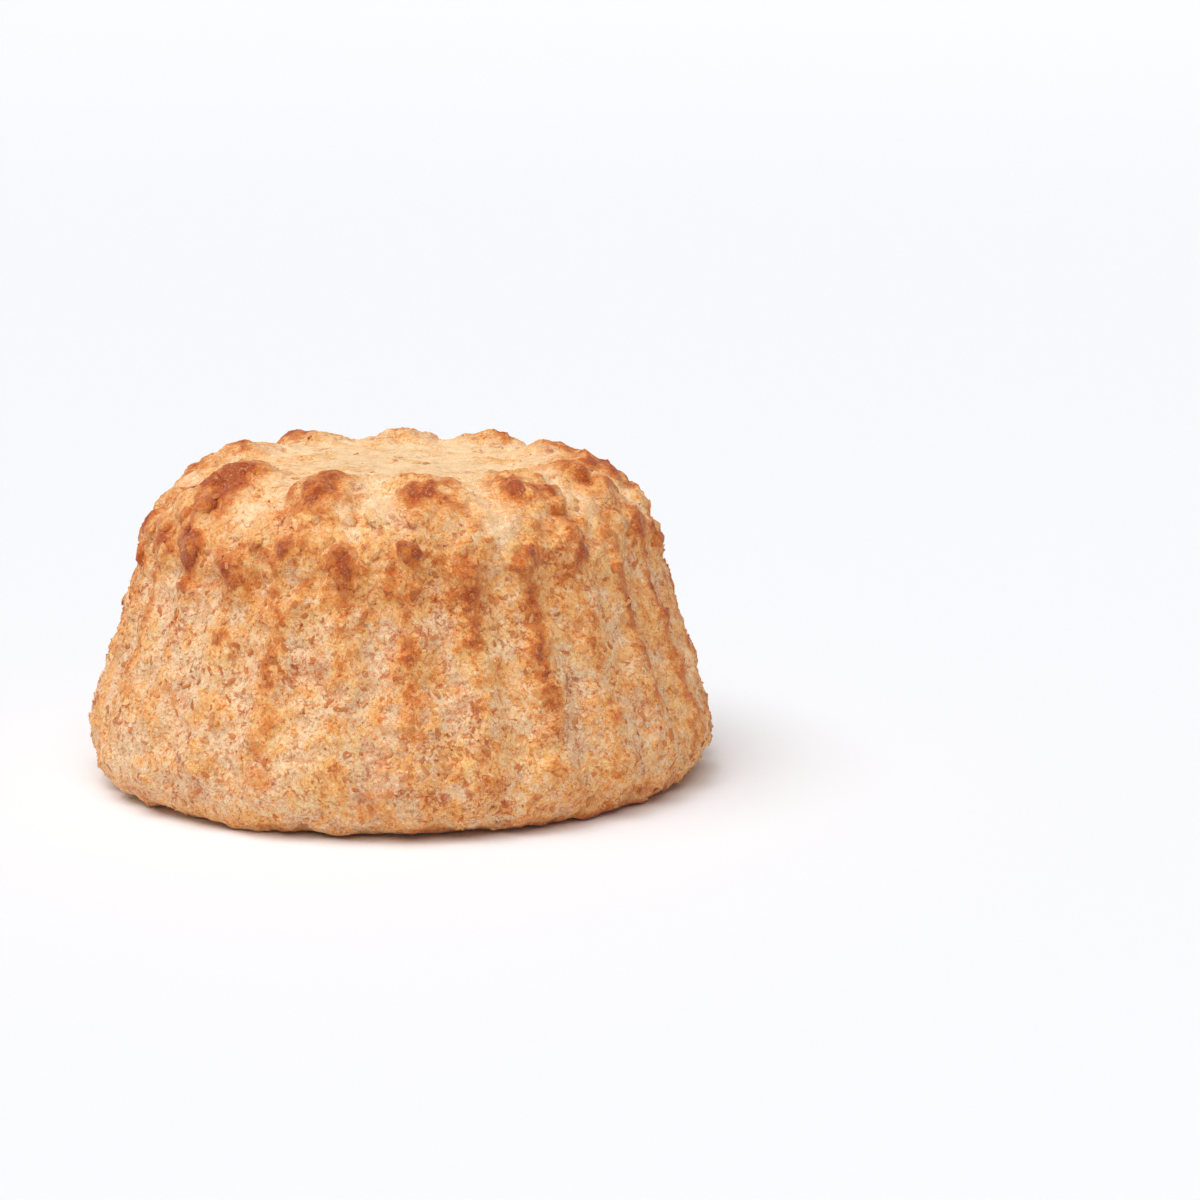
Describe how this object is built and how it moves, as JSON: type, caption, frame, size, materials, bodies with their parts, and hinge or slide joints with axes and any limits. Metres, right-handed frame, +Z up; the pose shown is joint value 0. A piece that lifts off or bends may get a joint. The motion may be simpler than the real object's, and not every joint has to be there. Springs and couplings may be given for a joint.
{
  "type": "maamoul cookie",
  "caption": "Round date-filled shortcrust biscuit with a fluted wall, a ring of soft petals round a nearly flat crown, and a flat base.",
  "frame": {"origin": "middle of the flat base, on the surface that the biscuit stands on", "axes": "+Z up through the crown, -Y towards the front, +X to the right"},
  "size_m": [0.0502, 0.0502, 0.0259],
  "materials": {
    "baked_crust": "dry baked semolina and wholemeal shortcrust, golden on the ridges and pale in the grooves"
  },
  "bodies": {
    "root": {"biscuit": "baked_crust"}
  },
  "joints": []
}
